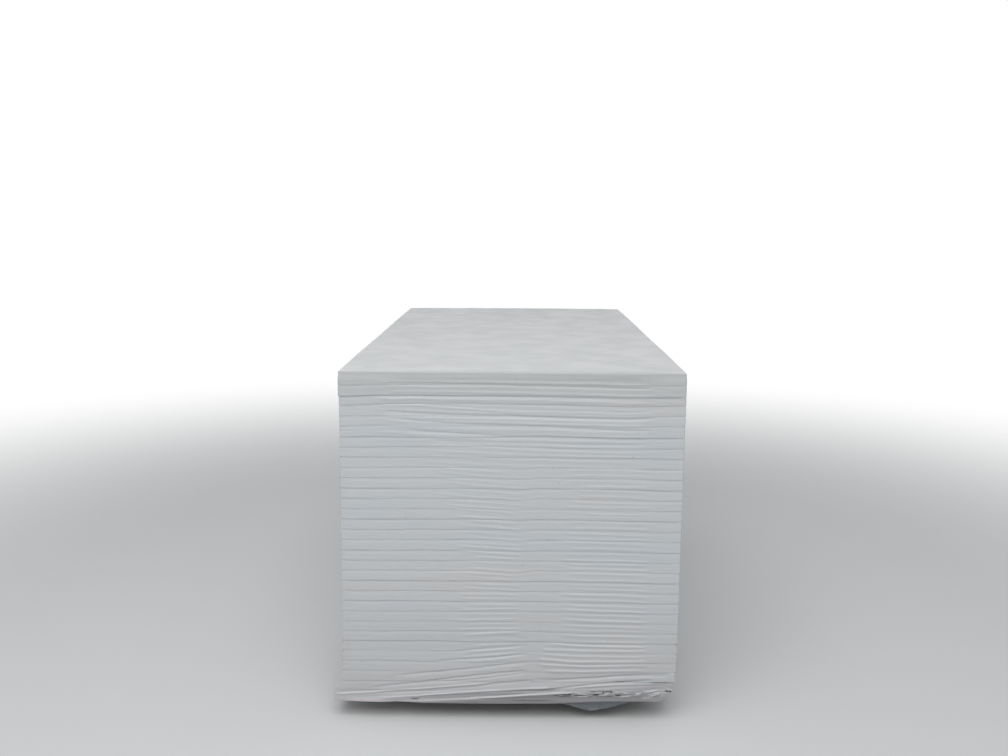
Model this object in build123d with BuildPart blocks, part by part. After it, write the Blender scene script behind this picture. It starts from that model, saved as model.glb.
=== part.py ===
from build123d import *
import os

# A shrink-wrapped bundle of rigid roof insulation boards standing on three foam foot strips.
# The boards are 4 ft by 8 ft and 1.5 in thick, in one stack of 32, so the stack is 48 in high.
#
# Millimetres, Z up. X runs across the boards and Y along them. The origin is on the floor under
# the middle of the bundle, and the end with the torn hem faces -Y.

# Boards
board_width = 1219.2  # 4 ft
board_length = 2438.4  # 8 ft
board_thickness = 38.1  # 1.5 in
board_count = 32
board_gap = 0.2  # air between one board and the next
edge_crush = 2.0  # bevel that handling and tight film leave on the edges of a board

# The stack has slid on its lowest boards, most at the bottom and hardly at all further up
stack_slide = 35.0  # how far the upper boards stand towards +X of the lowest one
slide_kept = 0.42  # share of the slide that is left from one board to the next one up

# The front right corner of the lowest board is crushed, as seen from the front
crush_across = 24.0  # along its front edge
crush_back = 45.0  # along its side
crush_up = 20.0

# Foot strips
foot_height = 76.2  # 3 in
foot_width = 127.0  # 5 in
foot_setback = 300.0  # from the end of the bundle to the near side of the outer strips
foot_bevel = 4.0
foot_names = ("foot_strip_front", "foot_strip_middle", "foot_strip_back")

# Film
film_thickness = 0.2
film_seat = 0.2  # clearance between the film and the boards
film_dip = 1.2  # how deep the film is drawn into each joint between two boards
hem_width = 60.0  # film turned under the lowest board
hem_clearance = 10.0  # from the hem to the ends of the foot strips

# Loose corner of the hem that hangs under the front end, as seen from the front
tongue_start = 210.0  # X where it leaves the bottom edge
tongue_tip = 315.0  # X of its lowest point
tongue_end = 467.0  # X where it comes back to the bottom edge
tongue_drop = 44.0
tongue_inset = 10.0  # behind the front face of the boards

board_pitch = board_thickness + board_gap
stack_bottom = foot_height
stack_top = stack_bottom + board_count * board_pitch - board_gap
film_out = film_seat + film_thickness  # outer face of the film from the face of a board
groove_half = edge_crush + board_gap / 2 + film_seat  # half the height of a joint's groove


def board_base(number):
    """Height of the underside of a board, counted from 0 at the bottom."""
    return stack_bottom + number * board_pitch


def board_x(number):
    """Where the middle of a board lies across the bundle."""
    return stack_slide * (0.5 - slide_kept**number)


def crush_plane(out):
    """Plane of the crushed corner, at out from the board, facing away from it."""
    corner = Vector(board_x(0) + board_width / 2, -board_length / 2, stack_bottom)
    across = corner - Vector(crush_across, 0, 0)
    facing = Vector(1 / crush_across, -1 / crush_back, -1 / crush_up)
    return Plane(origin=across, z_dir=facing).offset(out)


def film_side(faces, out):
    """Points up one side of the wrapped stack, at out from the faces of the boards.

    The film is drawn into each joint, and where one board stands further out than its
    neighbour it leaves the corner of the outer board at 45 degrees.
    """
    bevel = edge_crush + out * (2 - 2**0.5)
    points = [(faces[0] + out - bevel, stack_bottom - out)]
    points.append((faces[0] + out, stack_bottom - out + bevel))
    for number in range(1, board_count):
        joint = board_base(number) - board_gap / 2
        lower, upper = faces[number - 1], faces[number]
        below = max(groove_half, upper - lower)
        above = max(groove_half, lower - upper)
        points.append((lower + out, joint - below))
        points.append((max(lower, upper) + out - film_dip, joint))
        points.append((upper + out, joint + above))
    points.append((faces[-1] + out, stack_top + out - bevel))
    points.append((faces[-1] + out - bevel, stack_top + out))
    return points


def film_outline(left_faces, right_faces, out):
    """Closed outline of the wrapped stack, from two lists of how far the boards reach."""
    right = film_side(right_faces, out)
    left = [(-reach, height) for reach, height in film_side(left_faces, out)]
    return right + left[::-1]


def wrapped_block(out):
    """Solid block with the shape of the wrapped stack, at out from the faces of the boards."""
    half_width, half_length = board_width / 2, board_length / 2
    middles = [board_x(number) for number in range(board_count)]
    left_faces = [half_width - middle for middle in middles]
    right_faces = [half_width + middle for middle in middles]
    end_faces = [half_length] * board_count
    with BuildPart() as block:
        with BuildSketch(Plane.XZ):
            with BuildLine():
                Polyline(*film_outline(left_faces, right_faces, out), close=True)
            make_face()
        extrude(amount=half_length + out, both=True)
        with BuildSketch(Plane.YZ):
            with BuildLine():
                Polyline(*film_outline(end_faces, end_faces, out), close=True)
            make_face()
        extrude(amount=board_width + stack_slide, both=True, mode=Mode.INTERSECT)
        split(bisect_by=crush_plane(out), keep=Keep.BOTTOM)
    return block.part


# Boards: loose slabs with crushed edges
with BuildPart() as board:
    Box(board_width, board_length, board_thickness, align=(Align.CENTER, Align.CENTER, Align.MIN))
    flat_faces = board.faces().filter_by(Axis.Z)
    chamfer([edge for face in flat_faces for edge in face.edges()], edge_crush)

with BuildPart() as boards:
    with Locations((board_x(0), 0, board_base(0))):
        add(board.part)
    split(bisect_by=crush_plane(0), keep=Keep.BOTTOM)
    with Locations(*[(board_x(number), 0, board_base(number)) for number in range(1, board_count)]):
        add(board.part)

# Foot strips: foam bars across the bundle, under the lowest board
strip_length = board_width - 2 * (hem_width + hem_clearance)
outer_strip_y = board_length / 2 - foot_setback - foot_width / 2
strips = []
for name, strip_y in zip(foot_names, (-outer_strip_y, 0, outer_strip_y)):
    with BuildPart() as strip:
        with Locations((board_x(0), strip_y, 0)):
            Box(strip_length, foot_width, foot_height, align=(Align.CENTER, Align.CENTER, Align.MIN))
        chamfer(strip.edges().filter_by(Axis.Z), foot_bevel)
    strip.part.label = name
    strips.append(strip)

# Film: one bag over the stack, drawn into every joint and turned under the lowest board
hem_top = stack_bottom - film_seat
with BuildPart() as shrink_film:
    add(wrapped_block(film_out))
    add(wrapped_block(film_seat), mode=Mode.SUBTRACT)
    with BuildSketch(Plane.XY.offset(hem_top - 2 * film_thickness)):
        with Locations((board_x(0), 0)):
            Rectangle(board_width - 2 * hem_width, board_length - 2 * hem_width)
    extrude(amount=3 * film_thickness, mode=Mode.SUBTRACT)
    with BuildSketch(Plane.XZ.offset(board_length / 2 - tongue_inset)):
        with BuildLine():
            Polyline(
                (tongue_start, hem_top),
                (tongue_tip, hem_top - tongue_drop),
                (tongue_end, hem_top),
                close=True,
            )
        make_face()
    extrude(amount=-film_thickness)

boards.part.label = "boards"
shrink_film.part.label = "shrink_film"

os.makedirs("parts", exist_ok=True)
for piece in (boards, shrink_film, *strips):
    export_step(piece.part, f"parts/{piece.part.label}.step")
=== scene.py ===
import bpy
import math
import numpy as np
from mathutils import Matrix, Vector


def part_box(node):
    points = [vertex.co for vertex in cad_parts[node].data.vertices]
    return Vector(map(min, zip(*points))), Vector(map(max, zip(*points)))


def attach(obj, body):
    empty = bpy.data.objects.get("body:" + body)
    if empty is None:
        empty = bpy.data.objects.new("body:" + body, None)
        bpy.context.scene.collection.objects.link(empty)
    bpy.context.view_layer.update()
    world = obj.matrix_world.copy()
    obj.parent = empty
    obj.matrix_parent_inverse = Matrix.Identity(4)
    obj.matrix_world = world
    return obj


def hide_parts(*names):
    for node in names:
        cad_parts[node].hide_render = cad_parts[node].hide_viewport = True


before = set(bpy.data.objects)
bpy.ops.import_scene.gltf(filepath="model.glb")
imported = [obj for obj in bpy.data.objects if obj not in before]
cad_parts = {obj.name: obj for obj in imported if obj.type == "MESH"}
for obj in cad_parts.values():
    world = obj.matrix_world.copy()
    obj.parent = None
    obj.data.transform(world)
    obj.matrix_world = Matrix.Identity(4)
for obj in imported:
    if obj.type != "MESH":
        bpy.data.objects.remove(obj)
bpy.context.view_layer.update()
scene = bpy.context.scene
scene.view_settings.view_transform = "Standard"
mm = 0.001
print("frame loaded:", ", ".join(sorted(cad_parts)))


# the stack under the film, read from the CAD boards
stack = {
    "boards": 32,
    "boardWidth": 1219.2 * mm,
    "airGap": 0.2 * mm,
    "slideKept": 0.42,  # share of the slide left from one board to the next one up
}
boardsLow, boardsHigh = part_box("boards")
stack["bottom"] = boardsLow.z
stack["top"] = boardsHigh.z
stack["length"] = boardsHigh.y - boardsLow.y
stack["slide"] = boardsHigh.x - boardsLow.x - stack["boardWidth"]
stack["pitch"] = (stack["top"] - stack["bottom"] + stack["airGap"]) / stack["boards"]
joints = stack["bottom"] - stack["airGap"] / 2 + stack["pitch"] * np.arange(1, stack["boards"])


def boardX(number):
    return stack["slide"] * (0.5 - stack["slideKept"] ** number)


# how the bag is cut into meshes and how closely it lies on the boards
bag = {
    "standOff": 1.2 * mm,  # film from the faces of the boards
    "backOff": 0.25 * mm,  # inner side of the film from the faces of the boards
    "nearest": 0.35 * mm,  # least distance of the film from the boards
    "crushedEdge": 2.0 * mm,  # bevel on the boards' edges, which the film may follow
    "restSoftness": 0.5 * mm,  # how gently a fold comes to rest on the boards
    "rounding": 3.0 * mm,
    "rowsPerBoard": {"front": 24, "right": 16, "back": 17, "left": 16},
    "columnStep": {"front": 8.0 * mm, "right": 28.0 * mm, "back": 11.0 * mm, "left": 28.0 * mm},
    "backStep": 150.0 * mm,  # columns of the inner side
    "faceStep": 2.6 * mm,  # rows from a hem up to the first joint
    "edgeColumns": np.array([2.5, 5.0, 9.0, 15.0, 24.0]) * mm,  # extra columns beside a rounded edge
    "jointRows": np.array([0, 0.8, 1.7, 2.9, 4.5]) * mm,  # extra rows beside a joint
    "endRows": np.array([0, 0.9, 1.8, 3.0, 4.6]) * mm,  # the same beside the first and the last joint
    "topRows": np.array([6.0, 5.0, 4.0, 3.0, 2.0, 1.0, 0.0]) * mm,  # rows at the rounded top edge
    "jointBlend": 2.5 * mm,  # height beside a joint over which one board hands over to the next
    "grooveDepth": 1.25 * mm,
    "grooveAbove": 2.6 * mm,  # the film turns into a joint sharply from above
    "grooveBelow": 6.0 * mm,  # and gently from below
    "spreadBelow": 2.1,  # ridges and folds are that much wider below than above
    "ridgeReach": 2.6,  # widths from its line at which a ridge ends
    "backGroove": 1.65 * mm,  # depth and half height of a joint on the inner side
    "backGrooveHalf": 2.35 * mm,
    "cornerDip": 1.3 * mm,
    "cornerBlend": 34.0 * mm,
    "topBlend": (30 * mm, 24 * mm),  # depth at which the lifted top edge starts, and how far it fades in
    "tuck": 2.4,  # how steeply the film goes in under an upper board that stands further out
    # slow waviness of the film, its ridges, folds and joints: height, longest and shortest wave
    "slackWander": (0.9 * mm, 0.9, 0.2),
    "ridgeWander": (0.9 * mm, 0.4, 0.09),
    "foldWander": (0.7 * mm, 0.3, 0.08),
    "jointWander": (0.6 * mm, 0.5, 0.12),
    "depthWander": (0.36, 0.5, 0.05),  # of a joint's depth, as a share of it
    "bridgedShare": 0.35,  # share of a joint's depth lost where ridges carry the film over it
    "seed": 11,
    # on the left the film spans upwards from the boards that have slid out: height above the
    # lowest board and distance from the bundle's middle, in millimetres
    "leftSpan": [(0, 630.5), (15, 633.0), (23, 634.0), (31, 632.4), (40, 629.5), (50, 619.5),
                 (58, 612.8), (68, 612.0), (78, 608.8), (90, 604.8), (110, 603.0), (129, 600.3),
                 (412, 595.2), (565, 594.5), (870, 592.1)],
}
halfWidth = stack["boardWidth"] / 2 + bag["standOff"]
halfLength = stack["length"] / 2 + bag["standOff"]
bagTop = stack["top"] + bag["standOff"]
closer = bag["standOff"] - bag["backOff"]  # inner side of the film from the outer one

# the four sides, walked round so that along x up points outwards
sides = {
    "front": {"along": (1, 0), "out": (0, -1), "half": halfWidth, "depth": halfLength},
    "right": {"along": (0, 1), "out": (1, 0), "half": halfLength, "depth": halfWidth},
    "back": {"along": (-1, 0), "out": (0, 1), "half": halfWidth, "depth": halfLength},
    "left": {"along": (0, -1), "out": (-1, 0), "half": halfLength, "depth": halfWidth},
}
sideNames = list(sides)


def smooth(t):
    # from 0 at t = 0 to 1 at t = 1, level at both
    t = np.clip(t, 0, 1)
    return t * t * (3 - 2 * t)


def reach(z, direction):
    # how far the film reaches on +X or -X: it drapes at 45 degrees over a board that stands further
    # out, and goes in more steeply under one
    far = np.full(np.shape(z), -1.0)
    for number in range(stack["boards"]):
        low = stack["bottom"] + number * stack["pitch"]
        high = low + stack["pitch"] - stack["airGap"]
        face = stack["boardWidth"] / 2 + direction * boardX(number)
        far = np.maximum(far, face - np.maximum(0, np.maximum(bag["tuck"] * (low - z), z - high)))
    if direction < 0:
        heights, distances = np.array(bag["leftSpan"]).T * mm
        far = np.maximum(far, np.interp(z - stack["bottom"], heights, distances))
    return far


def slideShift(x, z):
    t = np.clip((x + halfWidth) / (2 * halfWidth), 0, 1)
    left = -(reach(z, -1) - stack["boardWidth"] / 2)
    right = reach(z, 1) - stack["boardWidth"] / 2
    return (1 - t) * left + t * right


def stretched(half, step):
    # even columns with a few more close to both ends, where the bag turns a corner
    edge = bag["rounding"]
    inner = np.concatenate([edge * np.array([0, 0.33, 0.66, 1.0]), edge + bag["edgeColumns"]])
    first, last = inner - half, (half - inner)[::-1]
    count = max(2, int(round((last[0] - first[-1]) / step)))
    return np.concatenate([first, np.linspace(first[-1], last[0], count + 1)[1:-1], last])


def boardRows(first, last, rowCount):
    # rows up the boards from one joint to another, close together in the grooves
    near = bag["jointRows"]
    count = rowCount - 2 * len(near) + 2
    rows = []
    for number in range(first, last):
        low = stack["bottom"] - stack["airGap"] / 2 + number * stack["pitch"]
        high = low + stack["pitch"]
        rows += [low + near, np.linspace(low + near[-1], high - near[-1], count)[1:-1], high - near[:0:-1]]
    return np.concatenate(rows)


def perBoard(values, z):
    # one value for each board, changing over the few millimetres of a joint
    breaks = []
    for number in range(len(values)):
        low = stack["bottom"] + number * stack["pitch"]
        breaks += [low + bag["jointBlend"], low + stack["pitch"] - bag["jointBlend"]]
    return np.interp(z, breaks, np.repeat(values, 2))


def wander(s, rng, height, longest, shortest):
    # slow random waviness along one direction
    total = np.zeros_like(s)
    for number in range(5):
        length = longest * (shortest / longest) ** (number / 4)
        total += np.sin(2 * np.pi * s / length + rng.uniform(0, 2 * np.pi)) * (length / longest) ** 0.5
    return height * total / 2.2


def oneSided(t):
    # a crest of height 1 at t = 0, steep above and gentle below, with t in widths
    return np.exp(-(np.where(t > 0, t, -t / bag["spreadBelow"]) ** 1.8))


def addRidge(field, z, path, strength, width):
    # path and strength are given for every column
    columns = np.nonzero(strength)[0]
    if len(columns) == 0:
        return
    low = path[columns].min() - bag["ridgeReach"] * bag["spreadBelow"] * width
    high = path[columns].max() + bag["ridgeReach"] * width
    rows = np.nonzero((z > low) & (z < high))[0]
    if len(rows) == 0:
        return
    t = (z[rows, None] - path[None, columns]) / width
    field[np.ix_(rows, columns)] += strength[None, columns] * oneSided(t)


def faded(s, start, end, fade, fadeEnd=None):
    # 1 between start and end, running out to 0 over the fades at both
    return smooth((s - start) / fade) * smooth((end - s) / (fadeEnd or fade))


def addRidges(field, s, z, zones, drawn, rng):
    # tension wrinkles: each zone holds long ridges at slopes that change with height
    for (left, right, fromBoard, toBoard, ridgesPerBoard, loose, flush, bend,
         slopes, spread, shares, heights, widths, fades) in zones:
        low, high = fromBoard * stack["pitch"], toBoard * stack["pitch"]
        count = max(1, int(round((high - low) / stack["pitch"] * ridgesPerBoard)))
        for number in range(count):
            level = (number + 0.5 + rng.uniform(-loose, loose)) / count
            slope = np.interp(level, [0, 1], slopes) + rng.normal(0, spread)
            length = (right - left) * rng.uniform(*shares)
            start = left + (right - left - length) * rng.uniform(0, 1)
            if flush:
                start = right - length - rng.uniform(0, 0.012)
            height, width, fade = rng.uniform(*heights) * mm, rng.uniform(*widths) * mm, rng.uniform(*fades)
            run = s - (left + right) / 2
            line = stack["bottom"] + low + level * (high - low) + wander(s, rng, *bag["ridgeWander"])
            line = line + math.tan(math.radians(slope)) * run + bend * run ** 2
            addRidge(field, z, line - drawn(s, line), height * faded(s, start, start + length, fade), width)


def through(points, s):
    # a smooth line through points given in millimetres, going on straight past both ends
    places, heights = np.array(points).T * mm
    first = (heights[1] - heights[0]) / (places[1] - places[0])
    last = (heights[-1] - heights[-2]) / (places[-1] - places[-2])
    past, blur, samples = 0.2, 0.06, 7  # metres past the ends, metres of smoothing to each side
    places = np.concatenate([[places[0] - past], places, [places[-1] + past]])
    heights = np.concatenate([[heights[0] - first * past], heights, [heights[-1] + last * past]])
    return sum(np.interp(s + shift, places, heights) for shift in np.linspace(-blur, blur, samples)) / samples


def addFolds(field, s, z, folds, drawn, rng):
    # single folds through a few points, standing out where their height is positive; their left and
    # right ends run out over the last two values, in millimetres
    for points, height, width, fadeLeft, fadeRight in folds:
        start, end = points[0][0] * mm, points[-1][0] * mm
        line = through(points, s) + stack["bottom"] + wander(s, rng, *bag["foldWander"])
        strength = height * mm * faded(s, start, end, fadeLeft * mm, fadeRight * mm)
        addRidge(field, z, line - drawn(s, line), strength, width * mm)


def keptOff(field, z):
    # the film rests on the boards where a fold would go through them
    toJoint = np.abs(z[:, None] - joints[None, :]).min(axis=1)
    floor = bag["nearest"] - bag["standOff"] - np.maximum(0, bag["crushedEdge"] - toJoint)
    soft = bag["restSoftness"]
    return floor[:, None] + soft * np.logaddexp(0, (field - floor[:, None]) / soft)


def addGrooves(field, s, z, depths, bridged, drift, rng):
    # returns how deep in a joint each point lies, from 0 to 1, which the film's material paints as shade
    inside = np.zeros_like(field)
    for number, joint in enumerate(joints):
        line = joint + wander(s, rng, *bag["jointWander"]) + drift(s, joint)
        depth = depths[number] * (1 - bag["bridgedShare"] * bridged(s, joint))
        depth = np.maximum(depth * (1 + wander(s, rng, *bag["depthWander"])), 0.2)
        rows = np.nonzero(np.abs(z - joint) < 4 * bag["grooveBelow"])[0]
        if len(rows) == 0:
            continue
        up = z[rows, None] - line[None, :]
        t = np.where(up > 0, up / bag["grooveAbove"], -up / bag["grooveBelow"])
        field[rows, :] -= bag["grooveDepth"] * depth[None, :] * np.exp(-(t ** 1.6))
        t = up / (1.3 * bag["grooveAbove"])
        inside[rows, :] = np.maximum(inside[rows, :], depth[None, :] * np.exp(-(t ** 2)))
    return inside


def makeMesh(name, points, quads, triangles, material):
    mesh = bpy.data.meshes.new(name)
    quads = np.asarray(quads, np.int32).reshape(-1, 4)
    triangles = np.asarray(triangles, np.int32).reshape(-1, 3)
    mesh.vertices.add(len(points))
    mesh.vertices.foreach_set("co", np.asarray(points, np.float32).ravel())
    mesh.loops.add(quads.size + triangles.size)
    mesh.loops.foreach_set("vertex_index", np.concatenate([quads.ravel(), triangles.ravel()]))
    mesh.polygons.add(len(quads) + len(triangles))
    starts = np.concatenate([np.arange(len(quads)) * 4, quads.size + np.arange(len(triangles)) * 3])
    mesh.polygons.foreach_set("loop_start", starts.astype(np.int32))
    mesh.polygons.foreach_set("use_smooth", np.ones(len(starts), bool))
    mesh.update(calc_edges=True)
    mesh.validate()
    mesh.materials.append(material)
    piece = bpy.data.objects.new(name, mesh)
    scene.collection.objects.link(piece)
    return piece


def gridQuads(rows, columns, first=0, flip=False):
    index = first + np.arange(rows * columns).reshape(rows, columns)
    a, b, c, d = index[:-1, :-1], index[:-1, 1:], index[1:, 1:], index[1:, :-1]
    order = (a, d, c, b) if flip else (a, b, c, d)
    return np.stack(order, axis=-1).reshape(-1, 4)


def closedPanel(name, outer, inner, kept, material):
    # a fine outer grid and a coarse inner one, whose columns are those of the outer named in kept
    rows, columns = outer.shape[:2]
    few = len(kept)
    first = rows * columns
    index = np.arange(first).reshape(rows, columns)
    back = first + np.arange(rows * few).reshape(rows, few)
    quads = [gridQuads(rows, columns), gridQuads(rows, few, first, flip=True)]
    for side, flip in ((0, True), (-1, False)):
        a, b = index[:-1, side], index[1:, side]
        c, d = back[1:, side], back[:-1, side]
        rim = (a, b, c, d) if flip else (d, c, b, a)
        quads.append(np.stack(rim, axis=-1))
    triangles = []
    for row, flip in ((0, False), (rows - 1, True)):
        for k in range(few - 1):
            a, b = kept[k], kept[k + 1]
            half = (a + b) // 2
            fan = [(back[row, k], index[row, j + 1], index[row, j]) for j in range(a, half)]
            fan.append((back[row, k], back[row, k + 1], index[row, half]))
            fan += [(back[row, k + 1], index[row, j + 1], index[row, j]) for j in range(half, b)]
            triangles += [(p, r, q) for p, q, r in fan] if flip else fan
    points = np.concatenate([outer.reshape(-1, 3), inner.reshape(-1, 3)])
    return makeMesh(name, points, np.concatenate(quads), triangles, material)


def thickSheet(name, outer, thickness, material):
    # an open grid given a thickness against its normals, closed all round
    rows, columns = outer.shape[:2]
    alongColumns = np.gradient(outer, axis=1)
    alongRows = np.gradient(outer, axis=0)
    normal = np.cross(alongColumns, alongRows)
    normal /= np.maximum(np.linalg.norm(normal, axis=2, keepdims=True), 1e-12)
    inner = outer - thickness * normal
    return closedPanel(name, outer, inner, list(range(columns)), material)


# camera where the photograph's was, a lens of 1000 pixels over a picture 1008 wide
shot = {
    "place": (0.0335, -4.6806, 1.844),
    "turn": -0.73,  # degrees to the right of +Y
    "tilt": 9.21,  # degrees downwards
    "roll": 0.29,
    "lensPixels": 1000.0,
    "pictureWidth": 1008.0,
    "sensor": 36.0,
}


def makeCamera():
    turn, tilt, roll = (math.radians(shot[key]) for key in ("turn", "tilt", "roll"))
    forward = Vector((math.sin(turn) * math.cos(tilt), math.cos(turn) * math.cos(tilt), -math.sin(tilt)))
    level = Vector((math.cos(turn), -math.sin(turn), 0))
    upright = level.cross(forward)
    right = math.cos(roll) * level + math.sin(roll) * upright
    up = math.cos(roll) * upright - math.sin(roll) * level
    data = bpy.data.cameras.new("camera")
    data.sensor_width = shot["sensor"]
    data.lens = shot["sensor"] * shot["lensPixels"] / shot["pictureWidth"]
    camera = bpy.data.objects.new("camera", data)
    facing = Matrix((right, up, -forward)).transposed().to_4x4()
    camera.matrix_world = Matrix.Translation(shot["place"]) @ facing
    scene.collection.objects.link(camera)
    scene.camera = camera


# shader nodes: every input is given a fixed value or wired to the output of another node
def node(tree, kind, inputs, **settings):
    made = tree.nodes.new("ShaderNode" + kind)
    for name, value in settings.items():
        setattr(made, name, value)
    for socket, value in inputs.items():
        if isinstance(value, bpy.types.NodeSocket):
            tree.links.new(value, made.inputs[socket])
        else:
            made.inputs[socket].default_value = value
    return made.outputs


def noise(tree, vector, scale, detail=2.0, rough=0.5):
    inputs = {"Vector": vector, "Scale": scale, "Detail": detail, "Roughness": rough}
    return node(tree, "TexNoise", inputs)["Fac"]


def stretchedBy(tree, vector, scale):
    return node(tree, "Mapping", {"Vector": vector, "Scale": scale})["Vector"]


def ranged(tree, value, low, high, outLow, outHigh, curve="SMOOTHSTEP"):
    inputs = {"Value": value, "From Min": low, "From Max": high, "To Min": outLow, "To Max": outHigh}
    return node(tree, "MapRange", inputs, interpolation_type=curve)["Result"]


def calculated(tree, operation, *values):
    return node(tree, "Math", dict(enumerate(values)), operation=operation)[0]


def mixed(tree, factor, first, second):
    return node(tree, "Mix", {0: factor, 6: first, 7: second}, data_type="RGBA")[2]


def bumped(tree, height, strength, distance, **before):
    inputs = {"Height": height, "Strength": strength, "Distance": distance, **before}
    return node(tree, "Bump", inputs)["Normal"]


def newMaterial(name):
    # with its tree, its shader's inputs and the place in the object's own frame
    material = bpy.data.materials.new(name)
    material.use_nodes = True
    tree = material.node_tree
    return material, tree, tree.nodes["Principled BSDF"].inputs, node(tree, "TexCoord", {})["Object"]


def finished(tree, inputs, colour, roughness, normal):
    for socket, value in (("Base Color", colour), ("Roughness", roughness), ("Normal", normal)):
        if isinstance(value, float):
            inputs[socket].default_value = value
        else:
            tree.links.new(value, inputs[socket])


# soft overcast light: a bright sky overhead, paler towards the horizon, and one large soft lamp
light = {
    "zenith": 1.0,
    "horizon": 0.4,
    "zenithFrom": 0.9,  # height of the sky from which it is as bright as overhead
    "skyStrength": 0.6,
    "skyTint": (0.95, 0.98, 1.0, 1),
    "lampPlace": (-0.6, -4.2, 5.2),
    "lampTarget": (0.0, -1.2, 0.5),
    "lampSize": 5.0,
    "lampWatts": 178.0,
    "floorSize": 60.0,
    "floorColour": (0.72, 0.72, 0.72, 1),
    "floorFade": (2.2, 7.0),  # metres from the middle between which the floor turns white
}


def seenDirectly(tree):
    # 1 for what the camera sees straight on, in a mirror or through glass
    path = node(tree, "LightPath", {})
    seen = calculated(tree, "MAXIMUM", path["Is Camera Ray"], path["Is Glossy Ray"])
    return calculated(tree, "MAXIMUM", seen, path["Is Transmission Ray"])


def makeLight():
    world = bpy.data.worlds.new("overcast")
    scene.world = world
    world.use_nodes = True
    tree = world.node_tree
    tree.nodes.clear()
    place = node(tree, "SeparateXYZ", {0: node(tree, "TexCoord", {})["Generated"]})
    dim, bright = light["horizon"] * light["skyStrength"], light["zenith"] * light["skyStrength"]
    strength = ranged(tree, place["Z"], 0.0, light["zenithFrom"], dim, bright, "LINEAR")
    sky = node(tree, "Background", {"Color": light["skyTint"], "Strength": strength})[0]
    white = node(tree, "Background", {"Color": (1, 1, 1, 1)})[0]
    mix = node(tree, "MixShader", {0: seenDirectly(tree), 1: sky, 2: white})[0]
    node(tree, "OutputWorld", {"Surface": mix})

    lamp = bpy.data.lights.new("softLamp", "AREA")
    lamp.shape = "SQUARE"
    lamp.size = light["lampSize"]
    lamp.energy = light["lampWatts"]
    holder = bpy.data.objects.new("softLamp", lamp)
    holder.location = light["lampPlace"]
    aim = Vector(light["lampTarget"]) - Vector(light["lampPlace"])
    holder.rotation_euler = aim.to_track_quat("-Z", "Y").to_euler()
    scene.collection.objects.link(holder)


def makeFloor():
    # pale and matt near the bundle, and as white as the sky further out
    material = bpy.data.materials.new("paleFloor")
    material.use_nodes = True
    tree = material.node_tree
    tree.nodes.clear()
    place = node(tree, "TexCoord", {})["Object"]
    distance = node(tree, "VectorMath", {0: place}, operation="LENGTH")["Value"]
    fade = ranged(tree, distance, *light["floorFade"], 0.0, 1.0)
    matte = node(tree, "BsdfDiffuse", {"Color": light["floorColour"]})[0]
    white = node(tree, "Emission", {})[0]
    share = calculated(tree, "MULTIPLY", fade, seenDirectly(tree))
    node(tree, "OutputMaterial", {"Surface": node(tree, "MixShader", {0: share, 1: matte, 2: white})[0]})
    half = light["floorSize"] / 2
    corners = [(-half, -half, 0), (half, -half, 0), (half, half, 0), (-half, half, 0)]
    makeMesh("floor", corners, [(0, 1, 2, 3)], [], material)


makeCamera()
makeLight()
makeFloor()
print("camera, light and floor made")


# finish of the film: opaque white polyethylene, satin, with cool and warm patches and fine crinkles
filmLook = {
    "colour": (0.61, 0.63, 0.646, 1),
    "warm": (0.62, 0.615, 0.622, 1),
    "cool": (0.595, 0.622, 0.648, 1),
    # painted shade, almost black, inside the tears
    "torn": (0.03, 0.034, 0.038, 1),
    # painted shade in the grooves of the joints
    "joint": (0.545, 0.56, 0.575, 1),
    # painted shade, with some dirt, where the film turns under at the foot
    "soiled": (0.315, 0.305, 0.32, 1),
    # painted shade, a little pink, on the rim where the film turns under
    "rim": (0.60, 0.56, 0.565, 1),
    # darker towards the foot
    "lowerDarkening": (0.568, 0.567, 0.576, 1),
    "lowerDarkeningTop": 0.56,  # height in metres where the darkening towards the foot ends
    "speck": (0.3, 0.3, 0.3, 1),
    # specks on the photographed end: across and up in millimetres from its lower middle, radius
    "specks": [(-378, 698, 4.5), (431, 926, 5.0), (133, 617, 4.5), (-546, 147, 6.0), (377, 148, 6.5),
               (146, 883, 4.0), (-470, 331, 3.5), (412, 486, 3.5)],
    "shade": (0.555, 0.565, 0.57, 1),
    "shadeFrom": 1.16,  # height in metres above which painted shade makes the film a little greyer
    # noise scales, per metre: patches and haze, crinkles across, along and up, grain, strewn specks
    "patches": ((0.6, 0.6, 2.2), 3.4),
    "haze": ((1, 1, 5), 9.0),
    "crinkles": (7, 7, 110),
    "grains": 420.0,
    "strewn": ((1, 1, 1.3), 16.0),
    "roughness": (0.34, 0.5),
    "crinkle": (0.35, 0.004),  # strength of the bump and its depth in metres
    "grain": (0.06, 0.0012),
}


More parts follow.
